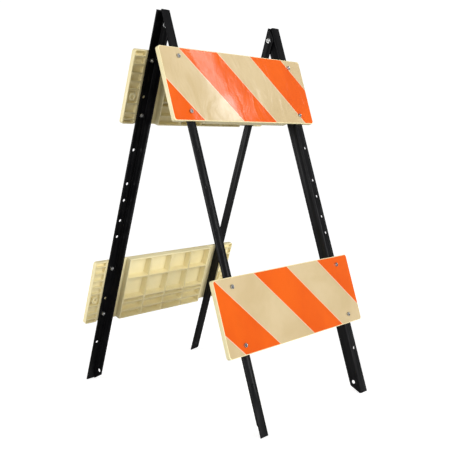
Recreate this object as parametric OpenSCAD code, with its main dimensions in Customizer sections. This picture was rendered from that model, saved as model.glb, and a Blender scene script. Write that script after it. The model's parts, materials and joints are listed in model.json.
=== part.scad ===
// Folding A-frame traffic barricade: two angle-steel leg frames hinged at the top,
// each carrying an upper and a lower ribbed plastic board with reflective sheeting.
// Origin: centre of the footprint, on the ground. X runs along the boards, Y from front to rear.

/* [Stance] */
// Lean of each leg frame away from upright, in degrees
lean_angle = 17.5; // [14:0.5:20]

/* [Legs] */
// Length of one angle-steel leg
leg_len = 1143; // [1120:1:1180]
// Width of each flange of the angle
flange_w = 31.75; // [31:0.25:34]
// Thickness of the steel
flange_t = 3; // [2.5:0.1:3.2]
// Outer radius of the bend between the two flanges
heel_r = 4.5; // [4:0.1:6]
// Distance from the middle of the barricade to the heel of a leg
heel_x = 220.5; // [215:0.5:225]
// Length of the 45 degree snip on both ends of the side flange
snip = 26; // [25.5:0.1:26.5]

/* [Leg holes] */
// Distance from a leg's end to the hole in its side flange
end_hole_inset = 35; // [33:0.5:38]
// Distance from the outer face of the panel flange to that hole
end_hole_gauge = 19.05; // [19:0.05:20]
// Diameter of the hinge hole at the top of a leg
hinge_hole_d = 9.65; // [9.55:0.01:9.68]
// Diameter of the anchor hole at the foot of a leg
foot_hole_d = 11.1; // [10:0.1:12]
// Diameter of the board holes along the panel flange
board_hole_d = 8.7; // [8.2:0.1:9.5]
// Distance from the heel to the row of board holes
board_hole_gauge = 19.05; // [17:0.05:21]

/* [Boards] */
// Length of a board
board_w = 609.6; // [600:0.1:620]
// Height of a board
board_h = 203.2; // [200:0.1:206]
// Thickness of a board's two ends over their ribs
board_t = 12.7; // [11:0.1:15]
// Thickness of the deeper ribbed middle, between the legs
middle_t = 24; // [20:0.1:25]
// Thickness of the front skin behind the ribs
skin_t = 3.2; // [2:0.1:4]
// Thickness of the board where a leg lies in its channel
channel_floor_t = 6.5; // [5:0.1:8]
// Width of the channel for a leg
channel_w = 82; // [76:0.5:84]
// Thickness of the rim and of the ribs
rib_t = 3; // [2:0.1:4]
// Radius of the corners of a board
board_corner_r = 7; // [4:0.5:12]
// Outer diameter of the moulded boss at each end of a board
boss_d = 22; // [18:0.5:26]
// Diameter of the dimple in the boss, where a warning light is drilled through
dimple_d = 12.7; // [10:0.1:14]

/* [Sheeting] */
// Thickness of the reflective sheeting
sheeting_t = 0.6; // [0.4:0.1:1]
// Margin of bare board around the sheeting
sheeting_margin = 2; // [1.5:0.5:6]

/* [Board bolts] */
// Diameter of a board bolt
bolt_d = 6.3; // [6:0.1:8]
// Width across the flats of a board bolt's head and nut
bolt_flats = 11.1; // [11:0.1:13]
// Height of a board bolt's head
bolt_head_h = 4.2; // [4:0.1:6]
// Height of a board bolt's nut
bolt_nut_h = 5.6; // [5:0.1:7]
// Thickness of the lock washer under a board bolt's nut
lock_washer_t = 1.6; // [1.5:0.1:2.5]

/* [Hinge bolts] */
// Diameter of a hinge bolt
hinge_bolt_d = 9.5; // [9.48:0.01:9.52]
// Width across the flats of a hinge bolt's head and nut
hinge_flats = 14.3; // [14:0.1:15]
// Height of a hinge bolt's head
hinge_head_h = 6; // [5:0.1:7]
// Height of a hinge bolt's lock nut
hinge_nut_h = 8; // [7:0.1:10]
// Thickness of the washer between the two side flanges
hinge_washer_t = 1.6; // [1.2:0.1:2]
// Outer diameter of that washer
hinge_washer_d = 19; // [18:0.5:22]

/* [Hidden] */
$fn = 64;

// One inch, the unit in which the holes and boards are laid out
inch = 25.4;
// Cutting tools reach this far past the faces they cut
over = 1;
// Running gap between pieces that turn against each other at the hinge
hinge_gap = 0.2;
// Play of a nut or a washer round its bolt, on the diameter
play = 0.1;
// Diameter of the bolt holes moulded in a board, a little over the bolt
bolt_hole_d = bolt_d + 0.8;

// Board holes along a leg, from its middle, the same towards both ends
hole_steps = [1.25, 3.25, 7.25, 11.25, 13.25, 17.25] * inch;
// Board bolts and the spare hole between them, from a board's top edge
bolt_drops = [1, 7] * inch;
boss_drop = 5 * inch;
// Top edges of the two boards, from the top of a leg
upper_drop = leg_len / 2 - hole_steps[5] - bolt_drops[0];
lower_drop = leg_len / 2 + hole_steps[2] - bolt_drops[0];

// The frames are alike, so they stand a flange and a washer apart along X to pass at the hinge
frame_shift = (flange_t + hinge_washer_t + hinge_gap) / 2;
// Height of the hinge line when both frames stand on the snipped corners of their side flanges
foot_corner = end_hole_gauge - (flange_w - snip);
hinge_z = (leg_len - end_hole_inset) * cos(lean_angle) - foot_corner * sin(lean_angle);

// Ribs of a board's middle, as drops from its top edge, and of its ends
middle_ribs = [66, 136, 150, 177];
end_ribs = [18, 40, 63, 86, 107, 147, 173, 190];
middle_columns = 4;
// Half length of the ribbed middle between the two channels
middle_half = heel_x - channel_w / 2;

// What a board bolt clamps, from the front of the board to the inner face of the panel flange
grip = channel_floor_t + flange_t;
// How far a bolt's end stands out of its nut
bolt_end = 2;
bolt_len = sheeting_t + grip + lock_washer_t + bolt_nut_h + bolt_end;
// Outer face, along X, of the front right leg's side flange
hinge_head_x = heel_x + frame_shift + flange_t;
hinge_len = 2 * flange_t + hinge_washer_t + 3 * hinge_gap + hinge_nut_h + bolt_end;

steel = [0.05, 0.05, 0.055];
zinc = [0.72, 0.74, 0.76];
plastic = [0.93, 0.88, 0.72];
orange = [0.96, 0.42, 0.12];

// Both frames are drawn upright, hinge line on the X axis, boards towards -Y
module stand_front() {
    translate([0, 0, hinge_z]) rotate([-lean_angle, 0, 0]) translate([frame_shift, 0, 0]) children();
}

module stand_rear() {
    translate([0, 0, hinge_z]) rotate([0, 0, 180]) rotate([-lean_angle, 0, 0])
        translate([frame_shift, 0, 0]) children();
}

// Section of the bent angle, heel at the origin, panel flange along X, side flange along Y
module angle_section() {
    difference() {
        union() {
            translate([heel_r, 0]) square([flange_w - heel_r, flange_t]);
            translate([0, heel_r]) square([flange_t, flange_w - heel_r]);
            intersection() {
                translate([heel_r, heel_r]) circle(r = heel_r);
                square(heel_r);
            }
        }
        translate([heel_r, heel_r]) circle(r = heel_r - flange_t);
    }
}

// Triangle cut from a corner of the side flange, the square corner at the origin
module snip_cut() {
    translate([-over, 0, 0]) rotate([90, 0, 90]) linear_extrude(flange_t + 2 * over)
        polygon([[over, -over], [over, snip], [0, snip], [-snip, 0], [-snip, -over]]);
}

// One leg, on the +X side: hinge hole on the X axis, top end end_hole_inset above it
module leg() {
    translate([heel_x, -end_hole_gauge, end_hole_inset - leg_len]) difference() {
        linear_extrude(leg_len) angle_section();
        translate([0, flange_w, 0]) snip_cut();
        translate([0, flange_w, leg_len]) mirror([0, 0, 1]) snip_cut();
        translate([-over, end_hole_gauge, leg_len - end_hole_inset]) rotate([0, 90, 0])
            cylinder(d = hinge_hole_d, h = flange_t + 2 * over);
        translate([-over, end_hole_gauge, end_hole_inset]) rotate([0, 90, 0])
            cylinder(d = foot_hole_d, h = flange_t + 2 * over);
        for (step = hole_steps) for (side = [-1, 1])
            translate([board_hole_gauge, -over, leg_len / 2 + side * step]) rotate([-90, 0, 0])
                cylinder(d = board_hole_d, h = flange_t + 2 * over);
    }
}

module left_leg() {
    mirror([1, 0, 0]) leg();
}

// Rectangle with round corners, hung from the X axis
module hung_plate(width, height, corner) {
    for (x = [-1, 1]) for (z = [corner, height - corner])
        translate([x * (width / 2 - corner), -z]) circle(r = corner);
    translate([-width / 2 + corner, -height]) square([width - 2 * corner, height]);
    translate([-width / 2, -height + corner]) square([width, height - 2 * corner]);
}

// Lays a flat outline in the XZ plane, thickness along +Y
module upright(thickness) {
    translate([0, thickness, 0]) rotate([90, 0, 0]) linear_extrude(thickness) children();
}

// One pocket between two drops, from x0 to x1, cut into the back of a board
module pocket(x0, x1, drop0, drop1) {
    translate([x0, skin_t, -drop1]) cube([x1 - x0, middle_t, drop1 - drop0]);
}

// Pockets between ribs at the given drops, with the rim at the top and bottom
module pocket_column(x0, x1, ribs) {
    edges = concat([rib_t / 2], ribs, [board_h - rib_t / 2]);
    for (i = [0 : len(edges) - 2])
        pocket(x0, x1, edges[i] + rib_t / 2, edges[i + 1] - rib_t / 2);
}

// Columns between ribs of equal pitch, the outermost ribs being the walls of the channels
module middle_pockets() {
    first_x = rib_t / 2 - middle_half;
    pitch = -2 * first_x / middle_columns;
    for (i = [0 : middle_columns - 1])
        pocket_column(first_x + i * pitch + rib_t / 2, first_x + (i + 1) * pitch - rib_t / 2, middle_ribs);
}

// Places something at the bolts of a board, both legs and both heights
module at_bolts() {
    for (x = [-1, 1]) for (drop = bolt_drops)
        translate([x * (heel_x + board_hole_gauge), 0, -drop]) children();
}

// A hung board: outer face on Y = 0, top edge on the X axis, ribs towards +Y
module board() {
    end_x = heel_x + channel_w / 2;
    boss_x = (end_x + board_w / 2) / 2;
    difference() {
        union() {
            upright(board_t) hung_plate(board_w, board_h, board_corner_r);
            upright(middle_t) translate([-middle_half, -board_h]) square([2 * middle_half, board_h]);
        }
        middle_pockets();
        for (side = [0, 1]) mirror([side, 0, 0]) {
            difference() {
                pocket_column(end_x + rib_t, board_w / 2 - rib_t, end_ribs);
                translate([boss_x, 0, -boss_drop]) rotate([-90, 0, 0]) cylinder(d = boss_d, h = board_t);
            }
            translate([end_x, channel_floor_t, -board_h - over]) mirror([1, 0, 0])
                cube([channel_w, middle_t, board_h + 2 * over]);
            translate([boss_x, channel_floor_t, -boss_drop]) rotate([-90, 0, 0])
                cylinder(d = dimple_d, h = middle_t);
        }
        at_bolts() rotate([-90, 0, 0]) translate([0, 0, -over]) cylinder(d = bolt_hole_d, h = board_t);
    }
}

// Sheeting on the outer face of a board, with the bolt holes punched
module sheeting() {
    difference() {
        translate([0, -sheeting_t, -sheeting_margin]) upright(sheeting_t)
            hung_plate(board_w - 2 * sheeting_margin, board_h - 2 * sheeting_margin, board_corner_r);
        at_bolts() rotate([-90, 0, 0]) translate([0, 0, -over]) cylinder(d = bolt_hole_d, h = board_t);
    }
}

// A board and its fittings hang with the board's channel floor on the panel flanges
module hang(drop) {
    translate([0, -end_hole_gauge - channel_floor_t, end_hole_inset - drop]) children();
}

// Hexagonal prism along +Y, from the origin, pierced by a hole
module hex_ring(flats, height, hole_d) {
    rotate([-90, 0, 0]) difference() {
        cylinder(d = flats / cos(30), h = height, $fn = 6);
        translate([0, 0, -over]) cylinder(d = hole_d, h = height + 2 * over);
    }
}

// Hex bolt along +Y: head in front of the origin, shank behind it
module hex_bolt(flats, head_h, shank_d, shank_len) {
    rotate([-90, 0, 0]) {
        translate([0, 0, -head_h]) cylinder(d = flats / cos(30), h = head_h, $fn = 6);
        cylinder(d = shank_d, h = shank_len);
    }
}

// Flat washer along +Y, from the origin
module flat_ring(outer_d, inner_d, height) {
    rotate([-90, 0, 0]) difference() {
        cylinder(d = outer_d, h = height);
        translate([0, 0, -over]) cylinder(d = inner_d, h = height + 2 * over);
    }
}

// The four bolts, lock washers and nuts of one board
module board_bolts() {
    at_bolts() translate([0, -sheeting_t, 0]) hex_bolt(bolt_flats, bolt_head_h, bolt_d, bolt_len);
}

module board_lock_washers() {
    at_bolts() translate([0, grip, 0]) flat_ring(bolt_flats, bolt_d + play, lock_washer_t);
}

module board_nuts() {
    at_bolts() translate([0, grip + lock_washer_t, 0]) hex_ring(bolt_flats, bolt_nut_h, bolt_d + play);
}

// Turns a fitting drawn along +Y to run along -X, from the outer side flange inwards. On the
// left the rear flange is the outer one, so there the head stands off it by the running gap.
module hinge_line(gap) {
    translate([hinge_head_x + gap, 0, 0]) rotate([0, 0, 90]) children();
}

module right_hinge_line() {
    translate([0, 0, hinge_z]) hinge_line(0) children();
}

module left_hinge_line() {
    translate([0, 0, hinge_z]) mirror([1, 0, 0]) hinge_line(hinge_gap) children();
}

module hinge_bolt() {
    hex_bolt(hinge_flats, hinge_head_h, hinge_bolt_d, hinge_len);
}

module hinge_washer() {
    flat_ring(hinge_washer_d, hinge_bolt_d + play, hinge_washer_t);
}

module hinge_nut() {
    hex_ring(hinge_flats, hinge_nut_h, hinge_bolt_d + play);
}

module front_left_leg() { color(steel) stand_front() left_leg(); }
module front_right_leg() { color(steel) stand_front() leg(); }
module rear_right_leg() { color(steel) stand_rear() left_leg(); }
module rear_left_leg() { color(steel) stand_rear() leg(); }

module front_upper_board() { color(plastic) stand_front() hang(upper_drop) board(); }
module front_lower_board() { color(plastic) stand_front() hang(lower_drop) board(); }
module rear_upper_board() { color(plastic) stand_rear() hang(upper_drop) board(); }
module rear_lower_board() { color(plastic) stand_rear() hang(lower_drop) board(); }

module front_upper_sheeting() { color(orange) stand_front() hang(upper_drop) sheeting(); }
module front_lower_sheeting() { color(orange) stand_front() hang(lower_drop) sheeting(); }
module rear_upper_sheeting() { color(orange) stand_rear() hang(upper_drop) sheeting(); }
module rear_lower_sheeting() { color(orange) stand_rear() hang(lower_drop) sheeting(); }

module front_upper_bolts() { color(zinc) stand_front() hang(upper_drop) board_bolts(); }
module front_lower_bolts() { color(zinc) stand_front() hang(lower_drop) board_bolts(); }
module rear_upper_bolts() { color(zinc) stand_rear() hang(upper_drop) board_bolts(); }
module rear_lower_bolts() { color(zinc) stand_rear() hang(lower_drop) board_bolts(); }

module front_upper_lock_washers() { color(zinc) stand_front() hang(upper_drop) board_lock_washers(); }
module front_lower_lock_washers() { color(zinc) stand_front() hang(lower_drop) board_lock_washers(); }
module rear_upper_lock_washers() { color(zinc) stand_rear() hang(upper_drop) board_lock_washers(); }
module rear_lower_lock_washers() { color(zinc) stand_rear() hang(lower_drop) board_lock_washers(); }

module front_upper_nuts() { color(zinc) stand_front() hang(upper_drop) board_nuts(); }
module front_lower_nuts() { color(zinc) stand_front() hang(lower_drop) board_nuts(); }
module rear_upper_nuts() { color(zinc) stand_rear() hang(upper_drop) board_nuts(); }
module rear_lower_nuts() { color(zinc) stand_rear() hang(lower_drop) board_nuts(); }

module left_hinge_bolt() { color(zinc) left_hinge_line() hinge_bolt(); }
module right_hinge_bolt() { color(zinc) right_hinge_line() hinge_bolt(); }
module left_hinge_washer() {
    color(zinc) left_hinge_line() translate([0, flange_t + 2 * hinge_gap, 0]) hinge_washer();
}
module right_hinge_washer() {
    color(zinc) right_hinge_line() translate([0, flange_t, 0]) hinge_washer();
}
module left_hinge_nut() {
    color(zinc) left_hinge_line()
        translate([0, 2 * flange_t + hinge_washer_t + 2 * hinge_gap, 0]) hinge_nut();
}
module right_hinge_nut() {
    color(zinc) right_hinge_line()
        translate([0, 2 * flange_t + hinge_washer_t + 2 * hinge_gap, 0]) hinge_nut();
}

front_left_leg();
front_right_leg();
rear_left_leg();
rear_right_leg();
front_upper_board();
front_lower_board();
rear_upper_board();
rear_lower_board();
front_upper_sheeting();
front_lower_sheeting();
rear_upper_sheeting();
rear_lower_sheeting();
front_upper_bolts();
front_lower_bolts();
rear_upper_bolts();
rear_lower_bolts();
front_upper_lock_washers();
front_lower_lock_washers();
rear_upper_lock_washers();
rear_lower_lock_washers();
front_upper_nuts();
front_lower_nuts();
rear_upper_nuts();
rear_lower_nuts();
left_hinge_bolt();
right_hinge_bolt();
left_hinge_washer();
right_hinge_washer();
left_hinge_nut();
right_hinge_nut();
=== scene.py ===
"""Dresses the folding traffic barricade: finished pieces, finishes, floor, lights and camera."""

import json
import logging
import math
from collections.abc import Callable, Sequence
from dataclasses import dataclass, field
from enum import Enum

import bpy
from mathutils import Matrix, Vector


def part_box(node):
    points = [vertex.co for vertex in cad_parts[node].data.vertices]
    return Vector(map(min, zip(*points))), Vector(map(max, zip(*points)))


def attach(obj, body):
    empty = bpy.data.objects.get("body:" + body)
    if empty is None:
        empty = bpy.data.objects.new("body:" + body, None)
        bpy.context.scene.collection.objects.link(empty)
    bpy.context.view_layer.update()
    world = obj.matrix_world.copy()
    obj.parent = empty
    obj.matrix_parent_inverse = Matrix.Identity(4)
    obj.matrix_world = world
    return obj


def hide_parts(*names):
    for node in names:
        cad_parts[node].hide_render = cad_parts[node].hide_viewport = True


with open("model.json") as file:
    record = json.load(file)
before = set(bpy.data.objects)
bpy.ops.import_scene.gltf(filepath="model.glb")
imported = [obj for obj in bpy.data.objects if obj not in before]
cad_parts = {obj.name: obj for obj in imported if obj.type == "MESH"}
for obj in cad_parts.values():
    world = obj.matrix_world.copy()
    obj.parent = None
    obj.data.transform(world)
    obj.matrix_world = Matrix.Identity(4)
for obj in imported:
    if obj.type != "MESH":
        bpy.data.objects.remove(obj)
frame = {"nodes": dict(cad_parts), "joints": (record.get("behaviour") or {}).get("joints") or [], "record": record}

log = logging.getLogger("barricade")

MM = 0.001

Box = tuple[Vector, Vector]
Point = tuple[float, float, float]
Colour = tuple[float, float, float, float]
Piece = bpy.types.Object
Material = bpy.types.Material
NodeTree = bpy.types.NodeTree
Socket = bpy.types.NodeSocket


class Side(Enum):
    """The two ends of the barricade, as the sign of X."""

    LEFT = -1
    RIGHT = 1


class Deck(Enum):
    """The two boards of a frame."""

    UPPER = "upper"
    LOWER = "lower"


class Cut(Enum):
    """What a boolean does with its tool, as the modifier names it."""

    TAKE_OFF = "DIFFERENCE"
    JOIN_ON = "UNION"
    KEEP_COMMON = "INTERSECT"


# ---------------------------------------------------------------- workshop


def clear_bench() -> None:
    """Goes to object mode with nothing selected."""
    if bpy.context.object and bpy.context.object.mode != "OBJECT":
        bpy.ops.object.mode_set(mode="OBJECT")
    bpy.ops.object.select_all(action="DESELECT")


def hold(piece: Piece) -> None:
    """Makes one piece the only one selected, and active."""
    clear_bench()
    piece.select_set(True)
    bpy.context.view_layer.objects.active = piece


def fresh(name: str) -> Piece:
    """Names the primitive that was just added and applies its place.

    Args:
        name: Name of the object and of its mesh.

    Returns:
        The new object, at the origin and unscaled.
    """
    piece = bpy.context.object
    piece.name = name
    piece.data.name = name
    bpy.ops.object.transform_apply(location=True, rotation=True, scale=True)
    return piece


def block(name: str, low: Sequence[float], high: Sequence[float]) -> Piece:
    """Adds a cube between two corners.

    Args:
        name: Name of the new object.
        low: Lowest corner, in metres.
        high: Highest corner, in metres.

    Returns:
        The new object.
    """
    clear_bench()
    low, high = Vector(low), Vector(high)
    bpy.ops.mesh.primitive_cube_add(size=1, location=(low + high) / 2)
    bpy.context.object.scale = high - low
    return fresh(name)


def rod(name: str, radius: float, start: float, end: float, sides: int = 48,
        tip: float | None = None) -> Piece:
    """Adds a cylinder or a cone along +Y.

    Args:
        name: Name of the new object.
        radius: Radius at the start.
        start: Y of its first end.
        end: Y of its far end.
        sides: Number of sides. The first corner lies on +X.
        tip: Radius at the far end, the same as radius if left out.

    Returns:
        The new object.
    """
    clear_bench()
    bpy.ops.mesh.primitive_cone_add(
        vertices=sides, radius1=radius, radius2=radius if tip is None else tip, depth=end - start,
        location=(0, (start + end) / 2, 0), rotation=(-math.pi / 2, math.pi / 2, 0))
    return fresh(name)


def pick_faces(piece: Piece, test: Callable[[Vector, Vector], bool]) -> None:
    """Opens a piece in edit mode with some faces selected.

    Args:
        piece: The piece to open.
        test: Says from a face's centre and normal whether it is selected.
    """
    hold(piece)
    bpy.ops.object.mode_set(mode="EDIT")
    bpy.ops.mesh.select_mode(type="FACE")
    bpy.ops.mesh.select_all(action="DESELECT")
    bpy.ops.object.mode_set(mode="OBJECT")
    for face in piece.data.polygons:
        face.select = test(face.center, face.normal)
    bpy.ops.object.mode_set(mode="EDIT")


def pick_edges(piece: Piece, test: Callable[[Vector, Vector], bool]) -> None:
    """Opens a piece in edit mode with some edges selected.

    Args:
        piece: The piece to open.
        test: Says from an edge's two ends whether it is selected.
    """
    hold(piece)
    bpy.ops.object.mode_set(mode="EDIT")
    bpy.ops.mesh.select_mode(type="EDGE")
    bpy.ops.mesh.select_all(action="DESELECT")
    bpy.ops.object.mode_set(mode="OBJECT")
    corners = piece.data.vertices
    for edge in piece.data.edges:
        edge.select = test(corners[edge.vertices[0]].co, corners[edge.vertices[1]].co)
    bpy.ops.object.mode_set(mode="EDIT")


def extrude(x: float, y: float, z: float) -> None:
    """Extrudes the selected faces by a step, in metres."""
    bpy.ops.mesh.extrude_region_move(TRANSFORM_OT_translate={"value": (x, y, z)})


def bevel_picked(width: float, segments: int) -> None:
    """Bevels the selected edges."""
    bpy.ops.mesh.bevel(offset=width, segments=segments, affect="EDGES")


def slice_at(piece: Piece, axis: Vector, places: Sequence[float],
             test: Callable[[Vector, Vector], bool] = lambda centre, normal: True) -> None:
    """Cuts new edges across some faces of a piece.

    Args:
        piece: The piece to cut.
        axis: Direction that the cuts are square to.
        places: Where the cuts are along that direction.
        test: Says which faces are cut, as in pick_faces.
    """
    for place in places:
        pick_faces(piece, test)
        bpy.ops.mesh.bisect(plane_co=axis * place, plane_no=axis)
    clear_bench()


def work(piece: Piece, tool: Piece, how: Cut) -> None:
    """Uses one object on another and throws the tool away.

    Args:
        piece: The piece that is kept.
        tool: The object that cuts it or is added to it.
        how: What the tool does.
    """
    hold(piece)
    cut = piece.modifiers.new("cut", "BOOLEAN")
    cut.operation = how.value
    cut.solver = "EXACT"
    cut.object = tool
    bpy.ops.object.modifier_apply(modifier=cut.name)
    bpy.data.objects.remove(tool)


def soften(piece: Piece, width: float, segments: int = 2, angle: float = 32) -> None:
    """Rounds every sharp edge of a piece with a bevel.

    Args:
        piece: The piece to round.
        width: Width of the bevel.
        segments: Number of steps across the bevel.
        angle: Edges sharper than this many degrees are rounded.
    """
    hold(piece)
    bevel = piece.modifiers.new("soften", "BEVEL")
    bevel.width = width
    bevel.segments = segments
    bevel.limit_method = "ANGLE"
    bevel.angle_limit = math.radians(angle)
    bpy.ops.object.modifier_apply(modifier=bevel.name)


def smooth(piece: Piece, angle: float = 32) -> None:
    """Shades a piece smooth wherever it turns by less than an angle in degrees."""
    hold(piece)
    bpy.ops.object.shade_smooth_by_angle(angle=math.radians(angle))


def weld(pieces: Sequence[Piece]) -> Piece:
    """Joins several objects into the first of them and returns it."""
    hold(pieces[0])
    for piece in pieces[1:]:
        piece.select_set(True)
    bpy.ops.object.join()
    return pieces[0]


def copy_to(master: Piece, name: str, place: Matrix) -> Piece:
    """Copies a finished piece, with a mesh of its own, to another place.

    Args:
        master: The piece to copy.
        name: Name of the copy.
        place: Matrix that moves the mesh. It may mirror.

    Returns:
        The copy, at the origin, with its place in its mesh.
    """
    twin = master.copy()
    twin.data = master.data.copy()
    twin.name = twin.data.name = name
    bpy.context.scene.collection.objects.link(twin)
    twin.data.transform(place)
    if place.determinant() < 0:
        hold(twin)
        bpy.ops.object.mode_set(mode="EDIT")
        bpy.ops.mesh.select_all(action="SELECT")
        bpy.ops.mesh.flip_normals()
        clear_bench()
    return twin


def put_away(*masters: Piece) -> None:
    """Removes masters whose copies are made."""
    for master in masters:
        bpy.data.objects.remove(master)


def move(x: float, y: float, z: float) -> Matrix:
    """Returns the matrix of a move, in metres."""
    return Matrix.Translation((x, y, z))


def turn(degrees: float, axis: str) -> Matrix:
    """Returns the matrix of a turn about the X, Y or Z axis."""
    return Matrix.Rotation(math.radians(degrees), 4, axis)


def hex_corner(flats: float) -> float:
    """Returns how far a hexagon's corners are from its middle, from its size across flats."""
    return flats / 2 / math.cos(math.pi / 6)


def link_up(name: str, data: bpy.types.ID) -> Piece:
    """Makes an object for a light or a camera, puts it in the scene and returns it."""
    holder = bpy.data.objects.new(name, data)
    bpy.context.scene.collection.objects.link(holder)
    return holder


# ---------------------------------------------------------------- shader groups


def new_group(name: str, inputs: dict[str, float | None], outputs: Sequence[str]) -> NodeTree:
    """Makes an empty shader node group.

    Args:
        name: Name of the group.
        inputs: Each input and its first value, or None for a vector.
        outputs: The names of the outputs, all of them values.

    Returns:
        The group, with its input and output nodes in place.
    """
    group = bpy.data.node_groups.new(name, "ShaderNodeTree")
    for label, value in inputs.items():
        kind = "NodeSocketVector" if value is None else "NodeSocketFloat"
        socket = group.interface.new_socket(label, in_out="INPUT", socket_type=kind)
        if value is not None:
            socket.default_value = value
    for label in outputs:
        group.interface.new_socket(label, in_out="OUTPUT", socket_type="NodeSocketFloat")
    group.nodes.new("NodeGroupInput")
    group.nodes.new("NodeGroupOutput")
    return group


@dataclass
class Wiring:
    """Adds and links the nodes of one tree."""

    tree: NodeTree

    def end(self, kind: str) -> bpy.types.Node:
        """Returns the first node of a kind that the tree already has."""
        return next(node for node in self.tree.nodes if node.bl_idname == kind)

    def plug(self, source: Socket | float | Sequence[float],
             target: Socket) -> None:
        """Links a socket to another, or sets a plain value on it."""
        if isinstance(source, Socket):
            self.tree.links.new(source, target)
        else:
            target.default_value = source

    def math(self, operation: str, *values: Socket | float) -> Socket:
        """Adds a Math node.

        Args:
            operation: The node's operation.
            values: What goes into it, sockets or numbers.

        Returns:
            Its output.
        """
        node = self.tree.nodes.new("ShaderNodeMath")
        node.operation = operation
        for index, value in enumerate(values):
            self.plug(value, node.inputs[index])
        return node.outputs[0]

    def span(self, value: Socket, start: float, end: float, low: float = 0.0,
             high: float = 1.0, smooth_step: bool = False) -> Socket:
        """Adds a Map Range node.

        Args:
            value: The value to map.
            start: Value that becomes low.
            end: Value that becomes high.
            low: Result at the start.
            high: Result at the end.
            smooth_step: Eases the ends if true.

        Returns:
            The mapped value.
        """
        node = self.tree.nodes.new("ShaderNodeMapRange")
        node.interpolation_type = "SMOOTHSTEP" if smooth_step else "LINEAR"
        self.plug(value, node.inputs["Value"])
        for label, number in (("From Min", start), ("From Max", end), ("To Min", low), ("To Max", high)):
            node.inputs[label].default_value = number
        return node.outputs["Result"]

    def noise(self, vector: Socket, scale: Socket | float,
              detail: float = 3.0, roughness: float = 0.5, distortion: float = 0.0) -> Socket:
        """Adds a Noise Texture node and returns its value."""
        node = self.tree.nodes.new("ShaderNodeTexNoise")
        self.plug(vector, node.inputs["Vector"])
        self.plug(scale, node.inputs["Scale"])
        node.inputs["Detail"].default_value = detail
        node.inputs["Roughness"].default_value = roughness
        node.inputs["Distortion"].default_value = distortion
        return node.outputs["Fac"]

    def mapping(self, vector: Socket, scale: Sequence[float],
                rotation: Sequence[float] = (0, 0, 0)) -> Socket:
        """Adds a Mapping node that stretches and turns a pattern, and returns its vector."""
        node = self.tree.nodes.new("ShaderNodeMapping")
        self.plug(vector, node.inputs["Vector"])
        node.inputs["Scale"].default_value = scale
        node.inputs["Rotation"].default_value = rotation
        return node.outputs["Vector"]

    def blend(self, factor: Socket | float, first: Socket | Sequence[float],
              second: Socket | Sequence[float]) -> Socket:
        """Adds a Mix node for colours.

        Args:
            factor: How much of the second colour shows.
            first: The first colour, a socket or four numbers.
            second: The second colour, a socket or four numbers.

        Returns:
            The mixed colour.
        """
        node = self.tree.nodes.new("ShaderNodeMix")
        node.data_type = "RGBA"
        self.plug(factor, node.inputs[0])
        self.plug(first, node.inputs[6])
        self.plug(second, node.inputs[7])
        return node.outputs[2]

    def bump(self, height: Socket, distance: float, strength: float = 1.0,
             under: Socket | None = None) -> Socket:
        """Adds a Bump node.

        Args:
            height: The height, from 0 to 1.
            distance: What a height of 1 means, in metres.
            strength: How much of it is used.
            under: Normal of another bump below this one.

        Returns:
            The new normal.
        """
        node = self.tree.nodes.new("ShaderNodeBump")
        node.inputs["Strength"].default_value = strength
        node.inputs["Distance"].default_value = distance
        self.plug(height, node.inputs["Height"])
        if under is not None:
            self.plug(under, node.inputs["Normal"])
        return node.outputs["Normal"]

    def group(self, group: NodeTree,
              **values: Socket | float) -> bpy.types.bpy_prop_collection:
        """Places a node group and returns its outputs."""
        node = self.tree.nodes.new("ShaderNodeGroup")
        node.node_tree = group
        for label, value in values.items():
            self.plug(value, node.inputs[label.replace("_", " ").capitalize()])
        return node.outputs


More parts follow.
